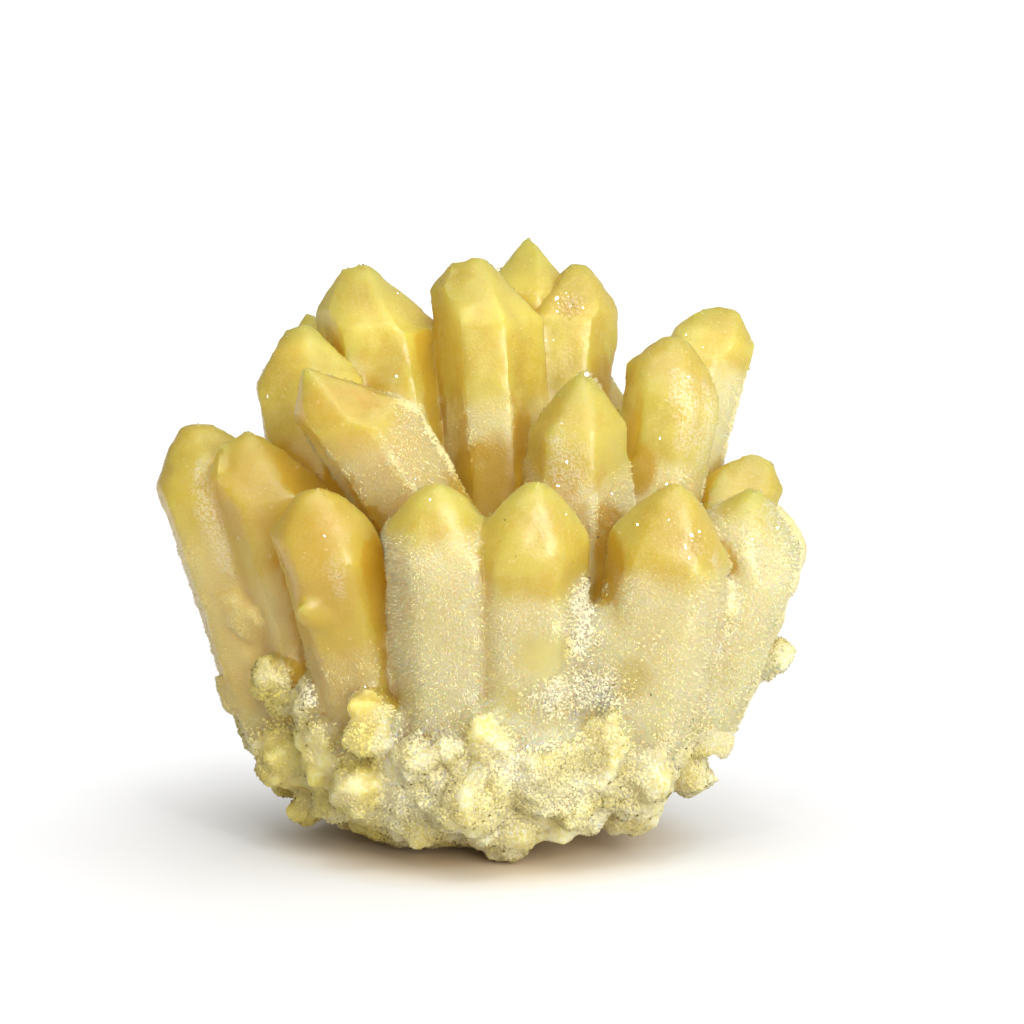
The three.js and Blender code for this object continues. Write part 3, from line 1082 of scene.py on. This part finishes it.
class QUARTZ_OT_glints(Operator):
    """Plants tiny bright crystals that catch the light with their flat faces"""

    bl_idname = "quartz.glints"
    bl_label = "Grow Glints"

    def execute(self, context):
        druse = context.scene.quartz_druse
        skin = bpy.data.objects[SKIN]
        shape = grain_shape()
        rng = np.random.default_rng(GROWTH_SEED)
        druse_cover, crust, gold = (read(skin.data, name) for name in ("druse", "crust", "gold"))
        co, _ = skin_arrays(skin)
        off_ground = smooth_step(1 * MM, 3 * MM, co[:, 2])
        weights = (0.15 + druse_cover + 0.1 * gold) * (1 - crust) * off_ground
        spots, normal, _ = scatter(skin, weights, druse.glints, rng)
        width = MM * (0.12 + 0.3 * rng.random(len(spots)) ** 3)
        material = glint_material()
        obj = plant("glint_crystals", shape, spots, leaning(normal, lean=0.7, rng=rng), width, width, rng)
        finish_piece(obj, material)
        self.plates(skin, weights + 0.7 * crust * off_ground, druse.plates, material, rng)
        return {"FINISHED"}

    def plates(self, skin, weights, count, material, rng):
        """Flat crystal faces that happen to mirror the high small light."""
        co, out = skin_arrays(skin)
        bright = unit(np.array(way_to(*CAMERA_WAY)) + np.array(way_to(*GLINT_WAY)))
        facing = smooth_step(0.35, 0.8, out @ bright)
        weights = (weights + 30 * patch_cover(co, SPARKLES, 0)) * facing
        spots, normal, _ = scatter(skin, weights, count, rng)
        sparkling = patch_cover(spots, SPARKLES, 0)
        width = MM * (0.1 + 0.35 * rng.random(count) ** 3 + 0.3 * sparkling * rng.random(count) ** 2)
        heading = unit(bright + 0.04 * rng.normal(size=normal.shape))
        spots = spots + normal * (0.12 * MM + 0.4 * width)[:, None]
        obj = plant("glint_plates", plate_shape(), spots, heading, width, width, rng)
        finish_piece(obj, material)


class QUARTZ_OT_needles(Operator):
    """Covers the points' ridges thickly and their faces thinly with fine needles, in a few pieces"""

    bl_idname = "quartz.needles"
    bl_label = "Grow Needles"

    pieces = 2

    def execute(self, context):
        druse = context.scene.quartz_druse
        skin = bpy.data.objects[SKIN]
        shape = needle_shape()
        rng = np.random.default_rng(GROWTH_SEED + 1)
        druse_cover, frost, ridge, gold, crust, bare = (
            read(skin.data, name) for name in ("druse", "frost", "ridge", "gold", "crust", "bare")
        )
        weights = (0.04 + druse_cover) * (0.04 + 3 * ridge**1.5) * (1 - crust)
        weights *= (1 - bare) * np.clip(1 - 1.05 * gold, 0, 1)
        material = druse_material("needle_druse", brightness=0.86, roughness=0.2)
        spots, normal, chosen = scatter(skin, weights, druse.needles, rng)
        rng.shuffle(order := np.arange(len(spots)))
        for piece, part in enumerate(np.array_split(order, self.pieces)):
            here = chosen[part]
            length = druse.needle_length * (0.5 + 0.7 * rng.random(len(part)) ** 1.5)
            length *= 0.6 + 0.5 * druse_cover[here].mean(axis=1)
            width = MM * (0.09 + 0.05 * rng.random(len(part)))
            heading = leaning(normal[part], lean=0.3, rng=rng)
            obj = plant(f"frost_needles_{piece + 1}", shape, spots[part], heading, length, width, rng)
            shade_as_skin(obj, shape, normal[part], own=0.45)
            tint_copies(
                obj,
                shape,
                gold=0.8 * gold[here].mean(axis=1),
                frost=np.clip(0.4 * rng.random(len(part)) + 0.5 * frost[here].mean(axis=1), 0, 1),
                # Painted shade and amber from the skin under each needle
                well=read(skin.data, "well")[here].mean(axis=1),
                stain=STAIN_STRENGTH * read(skin.data, "stain")[here].mean(axis=1),
            )
            finish_piece(obj, material)
        return {"FINISHED"}


class QUARTZ_OT_sugar(Operator):
    """Covers the base and the white patches with sugary grains, in a few pieces"""

    bl_idname = "quartz.sugar"
    bl_label = "Grow Sugar"

    pieces = 2

    def execute(self, context):
        druse = context.scene.quartz_druse
        skin = bpy.data.objects[SKIN]
        shape = sugar_shape()
        rng = np.random.default_rng(GROWTH_SEED + 2)
        crust = read(skin.data, "crust")
        white = read(skin.data, "white")
        co, _ = skin_arrays(skin)
        clumps = noise_at(co, CLUMPS)
        weights = np.maximum(crust * smooth_step(-0.35, 0.25, clumps + white), 1.2 * white)
        weights *= smooth_step(0.2 * MM, 1.5 * MM, co[:, 2])
        material = druse_material("sugar_druse", brightness=0.7, roughness=0.3)
        spots, normal, chosen = scatter(skin, weights, druse.grains, rng)
        rng.shuffle(order := np.arange(len(spots)))
        for piece, part in enumerate(np.array_split(order, self.pieces)):
            here = chosen[part]
            width = druse.grain_size * (0.6 + 1.7 * rng.random(len(part)) ** 3)
            heading = leaning(normal[part], lean=0.8, rng=rng)
            obj = plant(f"sugar_grains_{piece + 1}", shape, spots[part], heading, width, width, rng)
            shade_as_skin(obj, shape, normal[part], own=0.4)
            pale = 0.75 * read(skin.data, "frost")[here].mean(axis=1) + 0.08 * rng.random(len(part))
            tint_copies(
                obj,
                shape,
                gold=0.9 * read(skin.data, "gold")[here].mean(axis=1),
                frost=np.clip(pale, 0, 1),
                # Painted shade and amber from the skin under each grain
                well=0.6 * read(skin.data, "well")[here].mean(axis=1),
                stain=STAIN_STRENGTH * read(skin.data, "stain")[here].mean(axis=1),
            )
            finish_piece(obj, material)
        return {"FINISHED"}


class QUARTZ_OT_grit(Operator):
    """Drops dark specks of grit on the cluster"""

    bl_idname = "quartz.grit"
    bl_label = "Drop Grit"

    def execute(self, context):
        druse = context.scene.quartz_druse
        skin = bpy.data.objects[SKIN]
        shape = grain_shape()
        rng = np.random.default_rng(GROWTH_SEED + 3)
        co, out = skin_arrays(skin)
        weights = smooth_step(5 * MM, 15 * MM, co[:, 2])
        spots, normal, _ = scatter(skin, weights, druse.specks, rng)
        front = [self.in_sight(co, np.array(speck) * MM) for speck in SPECKS]
        spots = np.vstack([spots, co[front]])
        normal = np.vstack([normal, out[front]])
        width = MM * (0.1 + 0.14 * rng.random(len(spots)))
        length = width * (1 + 1.6 * rng.random(len(spots)))
        flat = unit(np.cross(normal, rng.normal(size=normal.shape)))
        obj = plant("grit_specks", shape, spots + normal * (0.5 * width)[:, None], flat, length, width, rng)
        finish_piece(obj, dust_material())
        return {"FINISHED"}

    def in_sight(self, co, place):
        """The skin's foremost vertex in line with a place on its front."""
        beside = np.linalg.norm((co - place)[:, [0, 2]], axis=1)
        return np.argmin(co[:, 1] + 40 * np.maximum(beside - 0.5 * MM, 0))


class QUARTZ_OT_stage(Operator):
    """Sets the white table, the soft lights and the camera"""

    bl_idname = "quartz.stage"
    bl_label = "Set Stage"

    def execute(self, context):
        stage = context.scene.quartz_stage
        self.floor()
        self.surroundings(context.scene, stage.sky_left, stage.sky_right)
        target = Vector(stage.target)
        for light in LIGHTS:
            self.softbox(light, target, getattr(stage, light.setting))
        self.camera(context.scene, stage, target)
        context.scene.view_settings.view_transform = "Standard"
        return {"FINISHED"}

    def floor(self):
        """A wide table top with a painted warm shadow under the cluster, glowing white farther off."""
        deselect_all()
        bpy.ops.mesh.primitive_grid_add(x_subdivisions=24, y_subdivisions=24, size=30)
        floor = bpy.context.object
        floor.name = "white_table"
        material, wire, shader, _ = new_material("white_paper")
        place = wire.add("ShaderNodeTexCoord").outputs["Object"]
        away = wire.add("ShaderNodeVectorMath", {0: place}, operation="LENGTH").outputs["Value"]
        shade = wire.mix(wire.noise(place, PAPER_CLOUDS), *PAPER)
        # Painted warm shadow on the table under the cluster
        shade = wire.mix(wire.ramp(away, *PAINTED_SHADOW_REACH), PAINTED_WARM_SHADOW, shade)
        shadow = wire.add("ShaderNodeVectorMath", {0: place, 1: SHADOW_MIDDLE}, operation="DISTANCE")
        glow = wire.ramp(shadow.outputs["Value"], *GLOW_REACH)
        wire.feed(shader.inputs["Base Color"], wire.mix(glow, shade, (0, 0, 0, 1)))
        shader.inputs["Roughness"].default_value = 0.9
        shader.inputs["Specular IOR Level"].default_value = 0.0
        shader.inputs["Emission Color"].default_value = (1, 1, 1, 1)
        wire.feed(shader.inputs["Emission Strength"], wire.math("MULTIPLY", glow, GLOW_STRENGTH))
        material.cycles.emission_sampling = "NONE"
        floor.data.materials.append(material)

    def surroundings(self, scene, left, right):
        """White all round: the camera sees plain white, and the cluster is lit more from the right."""
        world = bpy.data.worlds.new("white_room")
        world.use_nodes = True
        wire = Wiring(world.node_tree)
        path = wire.add("ShaderNodeLightPath")
        way = wire.add("ShaderNodeSeparateXYZ", {0: wire.add("ShaderNodeTexCoord").outputs["Generated"]})
        light = wire.ramp(way.outputs["X"], -1, 1, left, right)
        plain = wire.math("MULTIPLY", light, wire.math("SUBTRACT", 1.0, path.outputs["Is Camera Ray"]))
        background = world.node_tree.nodes["Background"]
        wire.feed(background.inputs["Strength"], wire.math("ADD", plain, path.outputs["Is Camera Ray"]))
        wire.feed(background.inputs["Color"], (1, 1, 1, 1))
        scene.world = world

    def softbox(self, light, target, power):
        """A square light that faces the cluster."""
        way = way_to(*light.way)
        deselect_all()
        bpy.ops.object.light_add(type="AREA", location=target + light.distance * way)
        lamp = bpy.context.object
        lamp.name = light.name
        lamp.rotation_euler = way.to_track_quat("Z", "Y").to_euler()
        lamp.data.size = light.size
        lamp.data.energy = power

    def camera(self, scene, stage, target):
        back = Vector((0, -math.cos(stage.elevation), math.sin(stage.elevation)))
        deselect_all()
        bpy.ops.object.camera_add(location=target + stage.distance * back)
        camera = bpy.context.object
        camera.rotation_euler = back.to_track_quat("Z", "Y").to_euler()
        camera.data.lens = stage.lens
        camera.data.sensor_width = 36
        camera.data.clip_start = 0.01
        camera.data.clip_end = 50
        scene.camera = camera


class QUARTZ_PT_panel(Panel):
    """Lists the steps that make the cluster, in order"""

    bl_idname = "QUARTZ_PT_panel"
    bl_label = "Quartz Cluster"
    bl_space_type = "VIEW_3D"
    bl_region_type = "UI"
    bl_category = "Quartz"

    def draw(self, context):
        layout = self.layout
        for step in STEPS:
            layout.operator(step.bl_idname)
        for group in SETTINGS:
            box = layout.box()
            settings = getattr(context.scene, group)
            for name in settings.bl_rna.properties.keys():
                if name not in ("rna_type", "name"):
                    box.prop(settings, name)


SETTINGS = {
    "quartz_shape": QuartzShape,
    "quartz_druse": QuartzDruse,
    "quartz_looks": QuartzLooks,
    "quartz_stage": QuartzStage,
}
STEPS = [
    QUARTZ_OT_skin,
    QUARTZ_OT_glints,
    QUARTZ_OT_needles,
    QUARTZ_OT_sugar,
    QUARTZ_OT_grit,
    QUARTZ_OT_stage,
]
CLASSES = [*SETTINGS.values(), *STEPS, QUARTZ_PT_panel]


def register():
    for cls in CLASSES:
        bpy.utils.register_class(cls)
    for name, group in SETTINGS.items():
        setattr(bpy.types.Scene, name, PointerProperty(type=group))


def unregister():
    for name in SETTINGS:
        delattr(bpy.types.Scene, name)
    for cls in reversed(CLASSES):
        bpy.utils.unregister_class(cls)


def main():
    register()
    sugar_group()
    tint_group(bpy.context.scene.quartz_looks)
    bpy.ops.quartz.skin()
    bpy.ops.quartz.glints()
    bpy.ops.quartz.needles()
    bpy.ops.quartz.sugar()
    bpy.ops.quartz.grit()
    bpy.ops.quartz.stage()


if __name__ == "__main__":
    main()
